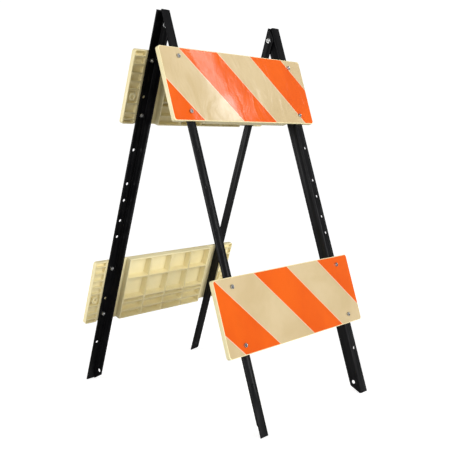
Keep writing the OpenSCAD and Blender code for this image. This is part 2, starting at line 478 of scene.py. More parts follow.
@dataclass
class SharedEffects:
    """The shader groups that several finishes use."""

    mottle: NodeTree = field(init=False)
    wear: NodeTree = field(init=False)
    scuffs: NodeTree = field(init=False)

    def __post_init__(self) -> None:
        """Builds the groups."""
        self.mottle = self.build_mottle()
        self.wear = self.build_wear()
        self.scuffs = self.build_scuffs()

    def build_mottle(self) -> NodeTree:
        """Builds a cloudy mask with a finer grain in it, and returns the group."""
        group = new_group(
            "mottle", {"Vector": None, "Cloud size": 8.0, "Grain size": 300.0}, ["Cloud", "Grain"])
        wire = Wiring(group)
        source = wire.end("NodeGroupInput").outputs
        target = wire.end("NodeGroupOutput").inputs
        cloud = wire.noise(source["Vector"], source["Cloud size"], 4.0, 0.55, 0.4)
        wire.plug(wire.span(cloud, 0.3, 0.7, smooth_step=True), target["Cloud"])
        wire.plug(wire.noise(source["Vector"], source["Grain size"], 2.0, 0.5), target["Grain"])
        return group

    def build_wear(self) -> NodeTree:
        """Builds a broken mask along convex edges, and returns the group."""
        group = new_group("edge_wear", {"Vector": None, "Reach": 0.56, "Break size": 90.0}, ["Mask"])
        wire = Wiring(group)
        source = wire.end("NodeGroupInput").outputs
        point = group.nodes.new("ShaderNodeNewGeometry").outputs["Pointiness"]
        ridge = wire.math("SUBTRACT", point, source["Reach"])
        ridge = wire.span(ridge, 0.0, 0.08, smooth_step=True)
        broken = wire.span(wire.noise(source["Vector"], source["Break size"], 3.0, 0.6), 0.42, 0.62)
        wire.plug(wire.math("MULTIPLY", ridge, broken), wire.end("NodeGroupOutput").inputs["Mask"])
        return group

    def build_scuffs(self) -> NodeTree:
        """Builds fine crossing scratches, and returns the group."""
        group = new_group("scuffs", {"Vector": None, "Amount": 0.5}, ["Mask"])
        wire = Wiring(group)
        source = wire.end("NodeGroupInput").outputs
        strands = []
        for angle, length in ((0.4, 9.0), (-0.7, 14.0)):
            drawn = wire.mapping(source["Vector"], (length, length, 420.0), (angle, angle * 0.6, angle))
            strands.append(wire.span(wire.noise(drawn, 1.0, 2.0, 0.6), 0.68, 0.76))
        patch = wire.span(wire.noise(source["Vector"], 11.0, 2.0, 0.5), 0.48, 0.66)
        both = wire.math("MAXIMUM", strands[0], strands[1])
        both = wire.math("MULTIPLY", wire.math("MULTIPLY", both, patch), source["Amount"])
        wire.plug(both, wire.end("NodeGroupOutput").inputs["Mask"])
        return group


# ---------------------------------------------------------------- finishes


def new_material(name: str) -> tuple[Material, Wiring, bpy.types.Node, Socket]:
    """Starts a material.

    Args:
        name: Name of the material.

    Returns:
        The material, its wiring, its shader and the Object coordinates.
    """
    material = bpy.data.materials.new(name)
    material.use_nodes = True
    wire = Wiring(material.node_tree)
    place = material.node_tree.nodes.new("ShaderNodeTexCoord").outputs["Object"]
    return material, wire, wire.end("ShaderNodeBsdfPrincipled"), place


@dataclass(frozen=True)
class PowderCoat:
    """Satin black powder coat on steel."""

    dark: Colour = (0.0018, 0.0018, 0.0022, 1)
    light: Colour = (0.0042, 0.0042, 0.0050, 1)
    rub: Colour = (0.045, 0.045, 0.047, 1)
    roughness: float = 0.36
    specular: float = 0.14
    peel: float = 0.00006

    def make(self, effects: SharedEffects) -> Material:
        """Builds the material from the shared effects."""
        material, wire, shader, place = new_material("powder_coat")
        clouds = wire.group(effects.mottle, vector=place, cloud_size=14.0, grain_size=620.0)
        worn = wire.group(effects.wear, vector=place, reach=0.54, break_size=120.0)["Mask"]
        scratched = wire.group(effects.scuffs, vector=place, amount=0.7)["Mask"]
        rubbed = wire.math("MAXIMUM", wire.math("MULTIPLY", worn, 0.6),
                           wire.math("MULTIPLY", scratched, 0.35))
        colour = wire.blend(clouds["Cloud"], self.dark, self.light)
        wire.plug(wire.blend(rubbed, colour, self.rub), shader.inputs["Base Color"])
        satin = wire.span(clouds["Cloud"], 0.0, 1.0, self.roughness - 0.03, self.roughness + 0.05)
        satin = wire.math("ADD", satin, wire.math("MULTIPLY", scratched, 0.12))
        wire.plug(satin, shader.inputs["Roughness"])
        shader.inputs["Specular IOR Level"].default_value = self.specular
        wire.plug(wire.bump(clouds["Grain"], self.peel), shader.inputs["Normal"])
        return material


@dataclass(frozen=True)
class MouldedPlastic:
    """Cream moulded plastic, a little uneven in colour, with a fine moulded grain."""

    pale: Colour = (0.92, 0.83, 0.52, 1)
    warm: Colour = (0.86, 0.74, 0.40, 1)
    rub: Colour = (0.95, 0.90, 0.70, 1)
    roughness: float = 0.42
    specular: float = 0.45

    def make(self, effects: SharedEffects) -> Material:
        """Builds the material from the shared effects."""
        material, wire, shader, place = new_material("moulded_plastic")
        clouds = wire.group(effects.mottle, vector=place, cloud_size=9.0, grain_size=420.0)
        worn = wire.group(effects.wear, vector=place, reach=0.53, break_size=60.0)["Mask"]
        scratched = wire.group(effects.scuffs, vector=place, amount=0.6)["Mask"]
        flow = wire.noise(wire.mapping(place, (4.0, 30.0, 30.0)), 1.0, 3.0, 0.5, 0.8)
        tone = wire.math("MULTIPLY_ADD", flow, 0.5, wire.math("MULTIPLY", clouds["Cloud"], 0.5))
        colour = wire.blend(tone, self.pale, self.warm)
        wire.plug(wire.blend(worn, colour, self.rub), shader.inputs["Base Color"])
        shine = wire.span(flow, 0.3, 0.7, self.roughness - 0.05, self.roughness + 0.06)
        wire.plug(wire.math("ADD", shine, wire.math("MULTIPLY", scratched, 0.15)), shader.inputs["Roughness"])
        shader.inputs["Specular IOR Level"].default_value = self.specular
        sink = wire.bump(flow, 0.0006, 0.5)
        wire.plug(wire.bump(clouds["Grain"], 0.00005, 1.0, sink), shader.inputs["Normal"])
        return material


@dataclass(frozen=True)
class StripedSheeting:
    """Glossy reflective sheeting printed with slanted stripes.

    The edges lie at constant X less drop, in metres, measured from the middle of the
    board's top edge. Its UV map holds X and drop in metres.
    """

    name: str
    edges: tuple[float, ...]
    starts_orange: bool
    orange: Colour = (0.83, 0.122, 0.003, 1)
    orange_deep: Colour = (0.77, 0.100, 0.002, 1)
    beige: Colour = (0.67, 0.53, 0.31, 1)
    beige_deep: Colour = (0.60, 0.46, 0.25, 1)
    seam: Colour = (0.86, 0.66, 0.46, 1)
    seam_width: float = 3.2 * MM
    roughness: float = 0.13
    specular: float = 0.3
    coat: float = 0.5
    coat_roughness: float = 0.05
    wave_height: float = 0.0030
    wave_strength: float = 0.7

    def edge_group(self) -> NodeTree:
        """Builds, once, the group that says which side of an edge a point is on."""
        if "stripe_edge" in bpy.data.node_groups:
            return bpy.data.node_groups["stripe_edge"]
        group = new_group("stripe_edge", {"Slant": 0.0, "Edge": 0.0, "Width": 0.003}, ["Past", "Seam"])
        wire = Wiring(group)
        source = wire.end("NodeGroupInput").outputs
        target = wire.end("NodeGroupOutput").inputs
        offset = wire.math("SUBTRACT", source["Slant"], source["Edge"])
        wire.plug(wire.math("GREATER_THAN", offset, 0.0), target["Past"])
        wire.plug(wire.math("LESS_THAN", wire.math("ABSOLUTE", offset), source["Width"]), target["Seam"])
        return group

    def make(self, effects: SharedEffects) -> Material:
        """Builds the material from the shared effects."""
        material, wire, shader, place = new_material(self.name)
        uv = material.node_tree.nodes.new("ShaderNodeUVMap")
        uv.uv_map = "film"
        split = material.node_tree.nodes.new("ShaderNodeSeparateXYZ")
        wire.plug(uv.outputs["UV"], split.inputs[0])
        ripple = wire.math("MULTIPLY_ADD", wire.noise(uv.outputs["UV"], 9.0, 2.0), 0.002, -0.001)
        slant = wire.math("ADD", wire.math("SUBTRACT", split.outputs["X"], split.outputs["Y"]), ripple)
        count: Socket | float = float(self.starts_orange)
        seams: Socket | float = 0.0
        for edge in self.edges:
            border = wire.group(self.edge_group(), slant=slant, edge=edge, width=self.seam_width / 2)
            count = wire.math("ADD", count, border["Past"])
            seams = wire.math("MAXIMUM", seams, border["Seam"])
        is_orange = wire.math("PINGPONG", count, 1.0)
        clouds = wire.group(effects.mottle, vector=place, cloud_size=7.0, grain_size=260.0)
        scratched = wire.group(effects.scuffs, vector=place, amount=0.5)["Mask"]
        orange = wire.blend(clouds["Cloud"], self.orange, self.orange_deep)
        beige = wire.blend(clouds["Cloud"], self.beige, self.beige_deep)
        colour = wire.blend(is_orange, beige, orange)
        colour = wire.blend(wire.math("MULTIPLY", seams, 0.75), colour, self.seam)
        wire.plug(colour, shader.inputs["Base Color"])
        gloss = wire.span(clouds["Grain"], 0.3, 0.7, self.roughness - 0.03, self.roughness + 0.05)
        wire.plug(wire.math("ADD", gloss, wire.math("MULTIPLY", scratched, 0.2)), shader.inputs["Roughness"])
        for label, value in (("Specular IOR Level", self.specular), ("Coat Weight", self.coat),
                             ("Coat Roughness", self.coat_roughness)):
            shader.inputs[label].default_value = value
        waves = wire.noise(wire.mapping(place, (16.0, 16.0, 7.0)), 1.0, 3.0, 0.5, 0.8)
        wave = wire.bump(waves, self.wave_height, self.wave_strength)
        wire.plug(wire.bump(clouds["Grain"], 0.00003, 1.0, wave), shader.inputs["Normal"])
        return material


@dataclass(frozen=True)
class ZincPlate:
    """Bright zinc plate, faintly clouded and stained."""

    bright: Colour = (0.62, 0.63, 0.64, 1)
    stained: Colour = (0.28, 0.27, 0.24, 1)
    roughness: float = 0.22

    def make(self, effects: SharedEffects) -> Material:
        """Builds the material from the shared effects."""
        material, wire, shader, place = new_material("zinc_plate")
        clouds = wire.group(effects.mottle, vector=place, cloud_size=120.0, grain_size=1500.0)
        worn = wire.group(effects.wear, vector=place, reach=0.56, break_size=300.0)["Mask"]
        colour = wire.blend(wire.math("MULTIPLY", clouds["Cloud"], 0.55), self.bright, self.stained)
        wire.plug(wire.blend(worn, colour, self.bright), shader.inputs["Base Color"])
        shader.inputs["Metallic"].default_value = 1.0
        wire.plug(wire.span(clouds["Cloud"], 0, 1, self.roughness - 0.05, self.roughness + 0.12),
                  shader.inputs["Roughness"])
        wire.plug(wire.bump(clouds["Grain"], 0.00002), shader.inputs["Normal"])
        return material


@dataclass(frozen=True)
class NylonInsert:
    """Pale nylon ring in a lock nut."""

    pale: Colour = (0.75, 0.74, 0.68, 1)
    dull: Colour = (0.58, 0.57, 0.50, 1)

    def make(self, effects: SharedEffects) -> Material:
        """Builds the material from the shared effects."""
        material, wire, shader, place = new_material("nylon_insert")
        clouds = wire.group(effects.mottle, vector=place, cloud_size=200.0, grain_size=1200.0)
        wire.plug(wire.blend(clouds["Cloud"], self.pale, self.dull), shader.inputs["Base Color"])
        wire.plug(wire.span(clouds["Grain"], 0, 1, 0.4, 0.6), shader.inputs["Roughness"])
        wire.plug(wire.bump(clouds["Grain"], 0.00002), shader.inputs["Normal"])
        return material


@dataclass
class Finishes:
    """Every material, built once."""

    effects: SharedEffects = field(default_factory=SharedEffects)
    steel: Material = field(init=False)
    plastic: Material = field(init=False)
    zinc: Material = field(init=False)
    nylon: Material = field(init=False)
    sheeting: dict[Deck, Material] = field(init=False)

    def __post_init__(self) -> None:
        """Builds the materials."""
        self.steel = PowderCoat().make(self.effects)
        self.plastic = MouldedPlastic().make(self.effects)
        self.zinc = ZincPlate().make(self.effects)
        self.nylon = NylonInsert().make(self.effects)
        upper = StripedSheeting("striped_sheeting_upper", (-0.392, -0.2323, -0.081, 0.061, 0.210), True)
        lower = StripedSheeting("striped_sheeting_lower", (-0.445, -0.300, -0.1448, 0.0008, 0.1462), False)
        self.sheeting = {Deck.UPPER: upper.make(self.effects), Deck.LOWER: lower.make(self.effects)}


# ---------------------------------------------------------------- stands


@dataclass(frozen=True)
class Stand:
    """One leaning frame. Its upright coordinates have the hinge line on X, and boards towards -Y."""

    body: str
    prefix: str
    half_turn: float
    lean: float
    hinge_z: float

    def place(self) -> Matrix:
        """Returns the matrix from upright coordinates to the row frame."""
        return move(0, 0, self.hinge_z) @ turn(self.half_turn, "Z") @ turn(-self.lean, "X")

    def box_of(self, node: str) -> Box:
        """Measures a CAD node in upright coordinates.

        Args:
            node: Name of the CAD node.

        Returns:
            Its lowest and its highest corner.
        """
        upright = self.place().inverted()
        points = [upright @ vertex.co for vertex in frame["nodes"][node].data.vertices]
        return (Vector([min(p[i] for p in points) for i in range(3)]),
                Vector([max(p[i] for p in points) for i in range(3)]))


def find_stands() -> list[Stand]:
    """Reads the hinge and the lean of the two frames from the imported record.

    Returns:
        The front stand and the rear stand.
    """
    hinge = Vector(frame["joints"][0]["pos_m"])
    foot = next(Vector(m["pos_m"]) for m in frame["record"]["mounts"] if m["name"] == "front_left_foot_hole")
    lean = math.degrees(math.atan2(hinge.y - foot.y, hinge.z - foot.z))
    return [Stand("front_frame", "front", 0, lean, hinge.z), Stand("rear_frame", "rear", 180, lean, hinge.z)]


def fit(piece: Piece, node: str, stand: Stand, material: Material) -> None:
    """Finishes a piece that stands for a CAD node.

    Args:
        piece: The piece, in the row frame.
        node: Name of the CAD node.
        stand: The frame that the piece moves with.
        material: Its finish, if it has none yet.
    """
    if not piece.data.materials:
        piece.data.materials.append(material)
    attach(piece, stand.body)
    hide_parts(node)
    log.info("%s: %d faces", piece.name, len(piece.data.polygons))


# ---------------------------------------------------------------- legs


@dataclass
class Leg:
    """A bent and punched angle with its side flange snipped at both ends."""

    flange_t: float = 3 * MM
    heel_r: float = 4.5 * MM
    snip: float = 26 * MM
    end_inset: float = 35 * MM
    gauge: float = 19.05 * MM
    hinge_hole_r: float = 4.825 * MM
    foot_hole_r: float = 5.55 * MM
    board_hole_r: float = 4.35 * MM
    hole_steps: tuple[float, ...] = (1.25, 3.25, 7.25, 11.25, 13.25, 17.25)
    inch: float = 25.4 * MM
    edge_break: float = 0.35 * MM

    def model(self, name: str, box: Box) -> Piece:
        """Models the leg on the +X side of a frame.

        Args:
            name: Name of the new object.
            box: The leg's box in upright coordinates.

        Returns:
            The leg in upright coordinates.
        """
        low, high = box
        leg = self.bend_angle(name, low, high)
        self.snip_ends(leg, low, high)
        work(leg, self.punches(low, high), Cut.TAKE_OFF)
        soften(leg, self.edge_break)
        smooth(leg)
        return leg

    def bend_angle(self, name: str, low: Vector, high: Vector) -> Piece:
        """Extrudes the two flanges from the heel and rounds the bend."""
        t = self.flange_t
        leg = block(name, low, (low.x + t, low.y + t, high.z))
        pick_faces(leg, lambda centre, normal: normal.x > 0.9)
        extrude(high.x - low.x - t, 0, 0)
        pick_faces(leg, lambda centre, normal: normal.y > 0.9 and centre.x < low.x + t)
        extrude(0, high.y - low.y - t, 0)
        bpy.ops.mesh.select_all(action="SELECT")
        bpy.ops.mesh.dissolve_limited(angle_limit=math.radians(1))
        bends = ((low.x, low.y, self.heel_r, 7), (low.x + t, low.y + t, self.heel_r - t, 4))
        for x, y, radius, steps in bends:
            pick_edges(leg, lambda a, b: all(abs(p.x - x) + abs(p.y - y) < 1e-5 for p in (a, b)))
            bevel_picked(radius, steps)
        clear_bench()
        return leg

    def snip_ends(self, leg: Piece, low: Vector, high: Vector) -> None:
        """Cuts the free corner of the side flange at both ends."""
        for z in (low.z, high.z):
            pick_edges(leg, lambda a, b: all(abs(p.y - high.y) + abs(p.z - z) < 1e-5 for p in (a, b)))
            bevel_picked(self.snip, 1)
        clear_bench()

    def punches(self, low: Vector, high: Vector) -> Piece:
        """Makes every hole of the leg as one set of pins, and returns it."""
        reach = 10 * MM
        pins = []
        for radius, z in ((self.hinge_hole_r, high.z - self.end_inset),
                          (self.foot_hole_r, low.z + self.end_inset)):
            pin = rod("punch", radius, -reach, reach, 40)
            pin.data.transform(move(low.x, low.y + self.gauge, z) @ turn(90, "Z"))
            pins.append(pin)
        middle = (low.z + high.z) / 2
        for step in self.hole_steps:
            for way in (-1, 1):
                pin = rod("punch", self.board_hole_r, -reach, reach, 32)
                pin.data.transform(move(low.x + self.gauge, low.y, middle + way * step * self.inch))
                pins.append(pin)
        return weld(pins)


# ---------------------------------------------------------------- boards


@dataclass
class Board:
    """A moulded board: smooth face at Y 0, ribbed back, a channel for each leg."""

    width: float = 609.6 * MM
    height: float = 203.2 * MM
    end_depth: float = 12.7 * MM
    middle_depth: float = 24 * MM
    skin: float = 3.2 * MM
    channel_floor: float = 6.5 * MM
    channel_in: float = 179.5 * MM
    channel_out: float = 261.5 * MM
    rib: float = 3 * MM
    corner: float = 7 * MM
    edge: float = 1.1 * MM
    columns: int = 4
    middle_draft: float = 3 * MM
    end_draft: float = 0.8 * MM
    middle_ribs: tuple[float, ...] = (66, 136, 150, 177)
    end_ribs: tuple[float, ...] = (18, 40, 63, 86, 107, 147, 173, 190)
    boss_r: float = 11 * MM
    dimple_r: float = 6.35 * MM
    boss_drop: float = 127 * MM
    bolt_x: float = 239.55 * MM
    bolt_drops: tuple[float, float] = (25.4 * MM, 177.8 * MM)
    bolt_hole_r: float = 3.55 * MM

    def model(self, name: str) -> Piece:
        """Models a board hanging from the X axis.

        Args:
            name: Name of the new object.

        Returns:
            The board, its outer face on Y 0 and its top edge on Z 0.
        """
        board = self.mould_body(name)
        self.mould_middle(board)
        for side in Side:
            self.mould_end(board, side)
        self.round_pocket_corners(board)
        for side in Side:
            work(board, self.boss(side), Cut.JOIN_ON)
        work(board, self.drills(), Cut.TAKE_OFF)
        smooth(board, 38)
        return board

    def mould_body(self, name: str) -> Piece:
        """Makes the plate, raises its three ribbed parts off the channels and rounds its edges."""
        board = block(name, (-self.width / 2, 0, -self.height), (self.width / 2, self.channel_floor, 0))
        pick_edges(board, lambda a, b: abs(a.y - b.y) > 1 * MM)
        bevel_picked(self.corner, 6)
        cuts = [side.value * x for side in Side for x in (self.channel_in, self.channel_out)]
        slice_at(board, Vector((1, 0, 0)), cuts)
        pick_faces(board, lambda centre, normal: normal.y > 0.9 and abs(centre.x) > self.channel_out)
        extrude(0, self.end_depth - self.channel_floor, 0)
        pick_faces(board, lambda centre, normal: normal.y > 0.9 and abs(centre.x) < self.channel_in)
        extrude(0, self.middle_depth - self.channel_floor, 0)
        bpy.ops.mesh.select_mode(type="EDGE")
        bpy.ops.mesh.select_all(action="DESELECT")
        bpy.ops.mesh.edges_select_sharp(sharpness=math.radians(60))
        bevel_picked(self.edge, 3)
        clear_bench()
        return board

    def sink(self, board: Piece, x0: float, x1: float, depth: float, ribs: Sequence[float],
             columns: int, draft: float) -> None:
        """Sinks drafted pockets between ribs into one part of the back.

        Args:
            board: The board.
            x0: Lower end of the part along X, the outer face of its first upright wall.
            x1: Upper end of it.
            depth: How thick the board is over the ribs of this part.
            ribs: Drops of the ribs, in millimetres.
            columns: Number of columns of pockets.
            draft: How far the walls of a pocket lean in, at most.
        """
        half = self.rib / 2
        pitch = (x1 - x0 - self.rib) / columns
        walls = [x0 + half + index * pitch for index in range(columns + 1)]
        drops = [half, *(rib * MM for rib in ribs), self.height - half]
        top = depth - 0.1 * MM

        def on_part(centre: Vector, normal: Vector) -> bool:
            """Says whether a face lies on the top of this part."""
            return normal.y > 0.9 and centre.y > top and x0 < centre.x < x1

        across = [x + half * way for x in walls for way in (-1, 1)][1:-1]
        down = [-(drop + half * way) for drop in drops for way in (-1, 1)][1:-1]
        slice_at(board, Vector((1, 0, 0)), across, on_part)
        slice_at(board, Vector((0, 0, 1)), down, on_part)
        for upper, lower in zip(drops, drops[1:]):
            room = min(lower - upper, pitch) - self.rib
            pick_faces(board, lambda centre, normal: on_part(centre, normal)
                       and -lower + half < centre.z < -upper - half
                       and any(a + half < centre.x < b - half for a, b in zip(walls, walls[1:])))
            deep = depth - self.skin
            bpy.ops.mesh.inset(thickness=0.7 * MM, depth=-0.3 * MM)
            bpy.ops.mesh.inset(thickness=min(draft, room * 0.3), depth=-(deep - 1.2 * MM))
            bpy.ops.mesh.inset(thickness=1.2 * MM, depth=-0.9 * MM)
        clear_bench()

    def mould_middle(self, board: Piece) -> None:
        """Sinks the large pockets between the two channels."""
        self.sink(board, -self.channel_in, self.channel_in, self.middle_depth, self.middle_ribs,
                  self.columns, self.middle_draft)

    def mould_end(self, board: Piece, side: Side) -> None:
        """Sinks the column of narrow pockets at one end."""
        near, far = sorted((side.value * self.channel_out, side.value * self.width / 2))
        self.sink(board, near, far, self.end_depth, self.end_ribs, 1, self.end_draft)

    def round_pocket_corners(self, board: Piece) -> None:
        """Rounds the corners that run down into the pockets."""
        step = 0.2 * MM
        pick_edges(board, lambda a, b: min(abs(a[i] - b[i]) for i in range(3)) > step
                   and max(abs(a.x), abs(b.x)) < self.width / 2 - self.edge
                   and -self.height + self.edge < min(a.z, b.z) and max(a.z, b.z) < -self.edge)
        bevel_picked(2.2 * MM, 3)
        clear_bench()

    def boss(self, side: Side) -> Piece:
        """Models the dimpled boss at one end, and returns it."""
        boss = rod("boss", self.boss_r + 0.8 * MM, self.skin - 0.5 * MM, self.end_depth, 40, self.boss_r)
        pick_faces(boss, lambda centre, normal: normal.y > 0.9)
        bpy.ops.mesh.inset(thickness=self.boss_r - self.dimple_r)
        extrude(0, self.channel_floor - self.end_depth, 0)
        bpy.ops.transform.resize(value=(0.9, 1, 0.9))
        clear_bench()
        soften(boss, 0.8 * MM, 3, 50)
        boss.data.transform(move(side.value * (self.channel_out + self.width / 2) / 2, 0, -self.boss_drop))
        return boss

    def drills(self) -> Piece:
        """Makes the four bolt holes as one set of pins, and returns it."""
        pins = []
        for side in Side:
            for drop in self.bolt_drops:
                pin = rod("drill", self.bolt_hole_r, -2 * MM, 12 * MM, 32)
                pin.data.transform(move(side.value * self.bolt_x, 0, -drop))
                pins.append(pin)
        return weld(pins)


@dataclass
class Sheeting:
    """The striped film on a board's outer face, slightly rippled, with a hole at each bolt."""

    board: Board
    margin: float = 2 * MM
    thickness: float = 0.6 * MM
    corner: float = 8 * MM
    grid: float = 9 * MM
    ripple: float = 0.32 * MM

    def model(self, name: str) -> Piece:
        """Models the film on a board that hangs from the X axis, and maps it.

        Args:
            name: Name of the new object.

        Returns:
            The film, its back on Y 0.
        """
        half = self.board.width / 2 - self.margin
        film = block(name, (-half, -self.thickness, self.margin - self.board.height),
                     (half, 0, -self.margin))
        pick_edges(film, lambda a, b: abs(a.y - b.y) > 0.1 * MM)
        bevel_picked(self.corner, 7)
        clear_bench()
        self.ripple_face(film, half)
        work(film, self.board.drills(), Cut.TAKE_OFF)
        smooth(film, 40)
        self.map_face(film)
        return film

    def ripple_face(self, film: Piece, half: float) -> None:
        """Cuts the film into a grid and lets its outer face rise and fall by a little."""
        across = int(2 * half / self.grid)
        slice_at(film, Vector((1, 0, 0)), [-half + (i + 0.5) * 2 * half / across for i in range(across)])
        tall = self.board.height - 2 * self.margin
        down = int(tall / self.grid)
        slice_at(film, Vector((0, 0, 1)), [-self.margin - (i + 0.5) * tall / down for i in range(down)])
        hold(film)
        outer = film.vertex_groups.new(name="outer")
        outer.add([v.index for v in film.data.vertices if v.co.y < -0.5 * self.thickness], 1.0, "REPLACE")
        waves = bpy.data.textures.new("film_waves", "CLOUDS")
        waves.noise_scale = 0.055
        waves.noise_depth = 1
        rise = film.modifiers.new("rise", "DISPLACE")
        rise.texture = waves
        rise.texture_coords = "LOCAL"
        rise.direction = "Y"
        rise.mid_level = 0.0
        rise.strength = self.ripple
        rise.vertex_group = "outer"
        bpy.ops.object.modifier_apply(modifier=rise.name)
        film.vertex_groups.clear()

    def map_face(self, film: Piece) -> None:
        """Writes X and drop, in metres, to the film's UV map."""
        layer = film.data.uv_layers.new(name="film")
        for loop in film.data.loops:
            point = film.data.vertices[loop.vertex_index].co
            layer.data[loop.index].uv = (point.x, -point.z)


# ---------------------------------------------------------------- fasteners


@dataclass(frozen=True)
class FastenerSizes:
    """Sizes of a hex bolt with its nut and washer."""

    flats: float
    head: float
    radius: float
    plain: float
    nut_height: float
    nut_hole_r: float
    washer_r: float
    washer_hole_r: float
    washer_t: float = 1.6 * MM


BOARD_FASTENERS = FastenerSizes(
    flats=11.1 * MM, head=4.2 * MM, radius=3.15 * MM, plain=9 * MM, nut_height=5.6 * MM,
    nut_hole_r=3.2 * MM, washer_r=5.55 * MM, washer_hole_r=3.2 * MM)
HINGE_FASTENERS = FastenerSizes(
    flats=14.3 * MM, head=6 * MM, radius=4.75 * MM, plain=8.5 * MM, nut_height=8 * MM,
    nut_hole_r=4.8 * MM, washer_r=9.5 * MM, washer_hole_r=4.8 * MM)


@dataclass
class Thread:
    """Thread turned on a bolt's end, as rings of the thread's own pitch."""

    radius: float
    pitch: float = 1.25 * MM
    bite: float = 0.62 * MM

    def cut_on(self, shank: Piece, end: float, turns: int) -> None:
        """Adds thread rings to the far end of a shank.

        Args:
            shank: A rod along +Y that ends below the thread.
            end: Y where the rod ends now.
            turns: Number of rings.
        """
        pick_faces(shank, lambda centre, normal: normal.y > 0.9 and centre.y > end - 0.1 * MM)
        root = (self.radius - self.bite) / self.radius
        for _ in range(turns):
            for share, scale in ((0.1, 1.0), (0.4, root), (0.1, 1.0), (0.4, 1 / root)):
                extrude(0, self.pitch * share, 0)
                if scale != 1.0:
                    bpy.ops.transform.resize(value=(scale, 1, scale))
        extrude(0, 0.6 * MM, 0)
        bpy.ops.transform.resize(value=(root, 1, root))
        clear_bench()


@dataclass
class HexBolt:
    """A hex bolt along +Y: chamfered head before Y 0, threaded shank behind it."""

    flats: float
    head: float
    radius: float
    length: float
    plain: float

    def model(self, name: str) -> Piece:
        """Models the bolt and returns it."""
        corner = hex_corner(self.flats)
        head = rod(name, corner, -self.head, 0, 6)
        chamfer = rod("chamfer", self.flats * 0.475, -self.head, 0.1 * MM, 64, corner * 1.9)
        work(head, chamfer, Cut.KEEP_COMMON)
        pick_faces(head, lambda centre, normal: normal.y < -0.9)
        bpy.ops.mesh.inset(thickness=self.flats * 0.09, depth=0)
        bpy.ops.mesh.inset(thickness=0.35 * MM, depth=-0.25 * MM)
        clear_bench()
        soften(head, 0.18 * MM, 2, 20)
        thread = Thread(self.radius)
        turns = int((self.length - self.plain - 0.6 * MM) / thread.pitch)
        plain_end = self.length - 0.6 * MM - turns * thread.pitch
        shank = rod("shank", self.radius, -1 * MM, plain_end, 28)
        thread.cut_on(shank, plain_end, turns)
        work(head, shank, Cut.JOIN_ON)
        smooth(head, 30)
        return head


@dataclass
class HexNut:
    """A chamfered nut along +Y from the origin, plain or with a lock collar."""

    flats: float
    height: float
    hole_r: float
    locking: bool = False

    def model(self, name: str, insert: Material, body: Material) -> Piece:
        """Models the nut.

        Args:
            name: Name of the new object.
            insert: Finish of the lock collar's ring.
            body: Finish of the rest.

        Returns:
            The nut.
        """
        corner = hex_corner(self.flats)
        hex_height = self.height * (0.72 if self.locking else 1.0)
        nut = rod(name, corner, 0, hex_height, 6)
        barrel = rod("barrel", corner * 1.001, 0, hex_height, 64)
        pick_edges(barrel, lambda a, b: abs(a.y - b.y) < 0.01 * MM)
        bevel_picked((corner - self.flats / 2) * 1.05, 1)
        work(nut, barrel, Cut.KEEP_COMMON)
        if self.locking:
            collar = rod("collar", self.flats * 0.46, hex_height - 0.5 * MM, self.height, 48)
            soften(collar, 0.9 * MM, 3, 50)
            work(nut, collar, Cut.JOIN_ON)
        work(nut, rod("bore", self.hole_r, -1 * MM, self.height + 1 * MM, 32), Cut.TAKE_OFF)
        soften(nut, 0.2 * MM, 2, 25)
        smooth(nut, 30)
        nut.data.materials.append(body)
        if self.locking:
            nut.data.materials.append(insert)
            for face in nut.data.polygons:
                reach = math.hypot(face.center.x, face.center.z)
                if face.center.y > self.height - 0.3 * MM and reach < self.flats * 0.36:
                    face.material_index = 1
        return nut


@dataclass
class LockWasher:
    """A split spring washer along +Y from the origin, closed almost flat."""

    outer_r: float
    inner_r: float
    height: float
    split: float = 12

    def model(self, name: str) -> Piece:
        """Spins the square wire round the bolt and returns the washer."""
        tall = self.height * 0.84
        washer = block(name, (self.inner_r, 0, 0), (self.outer_r, tall, 0.2 * MM))
        pick_faces(washer, lambda centre, normal: normal.z < -0.9)
        bpy.ops.mesh.select_all(action="INVERT")
        bpy.ops.mesh.delete(type="FACE")
        bpy.ops.mesh.select_all(action="SELECT")
        bpy.ops.mesh.spin(steps=40, angle=math.radians(360 - self.split), center=(0, 0, 0), axis=(0, 1, 0))
        bpy.ops.mesh.select_all(action="SELECT")
        bpy.ops.mesh.remove_doubles(threshold=0.01 * MM)
        bpy.ops.mesh.normals_make_consistent(inside=False)
        bpy.ops.object.mode_set(mode="OBJECT")
        for vertex in washer.data.vertices:
            way = math.atan2(vertex.co.z, vertex.co.x) % (2 * math.pi) / (2 * math.pi)
            vertex.co.y += (self.height - tall) * way
        soften(washer, 0.15 * MM, 2, 40)
        smooth(washer, 30)
        return washer


@dataclass
class FlatWasher:
    """A flat washer along +Y from the origin, its edges rounded by stamping."""

    outer_r: float
    inner_r: float
    height: float

    def model(self, name: str) -> Piece:
        """Models the washer and returns it."""
        washer = rod(name, self.outer_r, 0, self.height, 56)
        work(washer, rod("bore", self.inner_r, -1 * MM, self.height + 1 * MM, 40), Cut.TAKE_OFF)
        soften(washer, 0.25 * MM, 3, 40)
        smooth(washer, 40)
        return washer


# ---------------------------------------------------------------- sub-assemblies


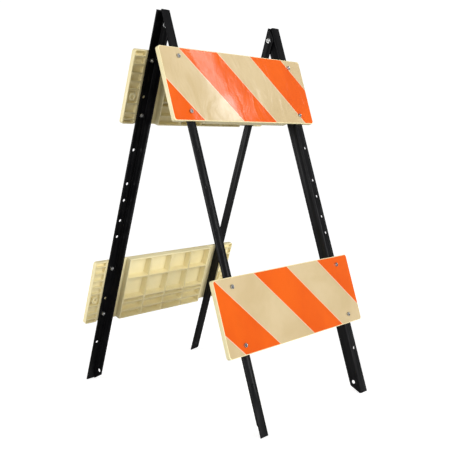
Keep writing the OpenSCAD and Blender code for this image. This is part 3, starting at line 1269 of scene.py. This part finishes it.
@dataclass
class BoardSet:
    """A board of one stand with its sheeting, bolts, lock washers and nuts."""

    stand: Stand
    deck: Deck
    flats: float = BOARD_FASTENERS.flats
    turns: tuple[float, ...] = (8, 51, 27, 74)

    def node(self, part: str) -> str:
        """Returns the CAD name of one of the set's parts."""
        return f"{self.stand.prefix}_{self.deck.value}_{part}"

    def spots(self) -> list[Vector]:
        """Finds the four bolt places from the nuts, on the face that the nuts bear on."""
        low, high = self.stand.box_of(self.node("nuts"))
        corner = hex_corner(self.flats)
        return [Vector((x, low.y, z)) for x in (low.x + corner, high.x - corner)
                for z in (high.z - self.flats / 2, low.z + self.flats / 2)]

    def hang(self, master: Piece, part: str, name: str, material: Material) -> None:
        """Hangs a copy of a board or a film in its place.

        Args:
            master: The board or film, hanging from the X axis.
            part: The part's name in the CAD.
            name: Name of the copy.
            material: Its finish.
        """
        low, high = self.stand.box_of(self.node("board"))
        place = self.stand.place() @ move((low.x + high.x) / 2, low.y, high.z)
        fit(copy_to(master, name, place), self.node(part), self.stand, material)

    def fasten(self, master: Piece, part: str, name: str, material: Material) -> None:
        """Puts four copies of a fastener in place, as one piece.

        Args:
            master: The fastener along +Y.
            part: The fasteners' name in the CAD.
            name: Name of the new piece.
            material: Their finish.
        """
        low, _ = self.stand.box_of(self.node(part))
        start = low.y - min(vertex.co.y for vertex in master.data.vertices)
        copies = []
        for spot, angle in zip(self.spots(), self.turns):
            place = self.stand.place() @ move(spot.x, start, spot.z) @ turn(angle, "Y")
            copies.append(copy_to(master, name, place))
        fit(weld(copies), self.node(part), self.stand, material)


@dataclass
class Hinge:
    """The bolt, washer and lock nut that one end of the barricade turns on."""

    side: Side
    stand: Stand

    def node(self, part: str) -> str:
        """Returns the CAD name of one of the hinge's parts."""
        return f"{self.side.name.lower()}_hinge_{part}"

    def put(self, master: Piece, part: str, angle: float, material: Material) -> None:
        """Puts a fastener on the hinge line, pointing inwards.

        Args:
            master: The fastener along +Y.
            part: Its name in the CAD.
            angle: How far it is turned about its own axis, in degrees.
            material: Its finish.
        """
        low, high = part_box(self.node(part))
        first = min(vertex.co.y for vertex in master.data.vertices)
        outer = high.x if self.side is Side.RIGHT else low.x
        place = move(outer + first * self.side.value, 0, self.stand.hinge_z) \
            @ turn(90 * self.side.value, "Z") @ turn(angle, "Y")
        fit(copy_to(master, f"{self.node(part)}_piece", place), self.node(part), self.stand, material)


@dataclass
class Barricade:
    """The whole barricade."""

    stands: list[Stand]
    finishes: Finishes

    def build_legs(self) -> None:
        """Models one leg and places it four times."""
        front = self.stands[0]
        low, high = front.box_of("front_right_leg")
        left_low, left_high = front.box_of("front_left_leg")
        shift = (low.x + high.x + left_low.x + left_high.x) / 4
        master = Leg().model("leg_master", (low - Vector((shift, 0, 0)), high - Vector((shift, 0, 0))))
        flip = Matrix.Scale(-1, 4, (1, 0, 0))
        for stand in self.stands:
            for side in Side:
                node_side = side if stand is front else Side(-side.value)
                node = f"{stand.prefix}_{node_side.name.lower()}_leg"
                hand = Matrix.Identity(4) if side is Side.RIGHT else flip
                place = stand.place() @ move(shift, 0, 0) @ hand
                fit(copy_to(master, f"{node}_angle", place), node, stand, self.finishes.steel)
        put_away(master)

    def build_boards(self) -> None:
        """Models one board and one film and hangs them in the four places."""
        board = Board()
        panel = board.model("board_master")
        film = Sheeting(board).model("film_master")
        for stand in self.stands:
            for deck in Deck:
                group = BoardSet(stand, deck)
                stem = f"{stand.prefix}_{deck.value}"
                group.hang(panel, "board", f"{stem}_panel", self.finishes.plastic)
                group.hang(film, "sheeting", f"{stem}_film", self.finishes.sheeting[deck])
        put_away(panel, film)

    def build_board_fasteners(self) -> None:
        """Models a bolt, a lock washer and a nut and places them at every board."""
        low, high = self.stands[0].box_of("front_upper_bolts")
        size = BOARD_FASTENERS
        length = high.y - low.y - size.head
        bolt = HexBolt(size.flats, size.head, size.radius, length, size.plain).model("board_bolt_master")
        washer = LockWasher(size.washer_r, size.washer_hole_r, size.washer_t).model("lock_washer_master")
        nut = HexNut(size.flats, size.nut_height, size.nut_hole_r).model(
            "nut_master", self.finishes.nylon, self.finishes.zinc)
        for stand in self.stands:
            for deck in Deck:
                group = BoardSet(stand, deck)
                stem = f"{stand.prefix}_{deck.value}"
                group.fasten(bolt, "bolts", f"{stem}_hex_bolts", self.finishes.zinc)
                group.fasten(washer, "lock_washers", f"{stem}_split_washers", self.finishes.zinc)
                group.fasten(nut, "nuts", f"{stem}_hex_nuts", self.finishes.zinc)
        put_away(bolt, washer, nut)

    def build_hinges(self) -> None:
        """Models a hinge bolt, a washer and a lock nut and places them at both ends."""
        low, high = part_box("right_hinge_bolt")
        size = HINGE_FASTENERS
        length = high.x - low.x - size.head
        bolt = HexBolt(size.flats, size.head, size.radius, length, size.plain).model("hinge_bolt_master")
        washer = FlatWasher(size.washer_r, size.washer_hole_r, size.washer_t).model("hinge_washer_master")
        nut = HexNut(size.flats, size.nut_height, size.nut_hole_r, True).model(
            "lock_nut_master", self.finishes.nylon, self.finishes.zinc)
        for side in Side:
            hinge = Hinge(side, self.stands[0])
            hinge.put(bolt, "bolt", 14 * side.value, self.finishes.zinc)
            hinge.put(washer, "washer", 0, self.finishes.zinc)
            hinge.put(nut, "nut", 37 * side.value, self.finishes.zinc)
        put_away(bolt, washer, nut)

    def build(self) -> None:
        """Builds every piece."""
        self.build_legs()
        self.build_boards()
        self.build_board_fasteners()
        self.build_hinges()


# ---------------------------------------------------------------- studio


@dataclass(frozen=True)
class SoftLight:
    """A soft panel light aimed at a point."""

    name: str
    place: Point
    size: tuple[float, float]
    glow: float
    target: Point

    def hang(self) -> None:
        """Adds the light to the scene."""
        lamp = bpy.data.lights.new(self.name, "AREA")
        lamp.shape = "RECTANGLE"
        lamp.size, lamp.size_y = self.size
        lamp.energy = self.glow * math.pi * self.size[0] * self.size[1]
        holder = link_up(self.name, lamp)
        holder.location = self.place
        aim = Vector(self.target) - Vector(self.place)
        holder.rotation_euler = aim.to_track_quat("-Z", "Y").to_euler()


@dataclass(frozen=True)
class Sun:
    """A far light, its spread and its turns in degrees."""

    name: str
    energy: float
    spread: float
    turns: Point

    def hang(self) -> None:
        """Adds the light to the scene."""
        lamp = bpy.data.lights.new(self.name, "SUN")
        lamp.energy = self.energy
        lamp.angle = math.radians(self.spread)
        link_up(self.name, lamp).rotation_euler = [math.radians(angle) for angle in self.turns]


@dataclass
class Studio:
    """Pale floor, soft lights and the camera."""

    eye: Point = (-1.6413, -1.4577, 0.7326)
    yaw: float = 45.33
    pitch: float = -7.64
    roll: float = -0.44
    lens: float = 58.886
    shift: tuple[float, float] = (0.092, 0.0432)
    daylight: float = 0.2
    backdrop: float = 1.05
    floor_tones: tuple[float, float] = (0.56, 0.58)
    floor_glow: tuple[float, float] = (0.12, 0.78)
    lights: tuple[Sun | SoftLight, ...] = (
        Sun("front_sun", 2.75, 34, (78, 0, 12)),
        Sun("left_sun", 2.0, 72, (80, 0, -81)),
        SoftLight("side_strip", (-1.78, 1.34, 0.78), (0.36, 0.55), 18.0, (0.2, -0.1, 0.7)),
        SoftLight("glare_strip", (2.03, -1.52, 2.22), (0.08, 0.8), 5.0, (-0.1, -0.08, 0.9)),
        SoftLight("glare_patch", (2.06, -1.56, 2.02), (0.15, 0.18), 3.4, (-0.06, -0.09, 0.84)))

    def lay_floor(self) -> None:
        """Lays a wide pale floor under the feet."""
        clear_bench()
        bpy.ops.mesh.primitive_circle_add(vertices=96, radius=14, fill_type="NGON", location=(0, 0, -0.0002))
        floor = fresh("pale_floor")
        material, wire, shader, place = new_material("pale_floor")
        cloud = wire.noise(place, 1.2, 2.0)
        tones = [(tone, tone, tone, 1) for tone in self.floor_tones]
        wire.plug(wire.blend(cloud, *tones), shader.inputs["Base Color"])
        shader.inputs["Roughness"].default_value = 0.9
        shader.inputs["Emission Color"].default_value = (1, 1, 1, 1)
        seen = material.node_tree.nodes.new("ShaderNodeLightPath").outputs["Is Camera Ray"]
        wire.plug(wire.span(seen, 0, 1, *self.floor_glow), shader.inputs["Emission Strength"])
        floor.data.materials.append(material)

    def light(self) -> None:
        """Hangs the lights and whitens the world."""
        world = bpy.data.worlds.new("studio")
        bpy.context.scene.world = world
        world.use_nodes = True
        glow = next(node for node in world.node_tree.nodes if node.bl_idname == "ShaderNodeBackground")
        glow.inputs["Color"].default_value = (1, 1, 1, 1)
        wire = Wiring(world.node_tree)
        seen = world.node_tree.nodes.new("ShaderNodeLightPath").outputs["Is Camera Ray"]
        wire.plug(wire.span(seen, 0, 1, self.daylight, self.backdrop), glow.inputs["Strength"])
        for lamp in self.lights:
            lamp.hang()
        bpy.context.scene.view_settings.view_transform = "Standard"

    def aim_camera(self) -> None:
        """Places the camera."""
        camera = bpy.data.cameras.new("camera")
        camera.lens = self.lens
        camera.sensor_width = 36
        camera.shift_x, camera.shift_y = self.shift
        camera.clip_start, camera.clip_end = 0.05, 60
        holder = link_up("camera", camera)
        holder.matrix_world = move(*self.eye) @ turn(-self.yaw, "Z") @ turn(90 + self.pitch, "X") \
            @ turn(self.roll, "Z")
        bpy.context.scene.camera = holder

    def set_up(self) -> None:
        """Sets up the whole studio."""
        self.lay_floor()
        self.light()
        self.aim_camera()


def main() -> None:
    """Builds the barricade and the studio round it."""
    logging.basicConfig(level=logging.INFO, format="%(name)s: %(message)s")
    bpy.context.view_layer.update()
    Barricade(find_stands(), Finishes()).build()
    Studio().set_up()
    clear_bench()


if __name__ == "__main__":
    main()
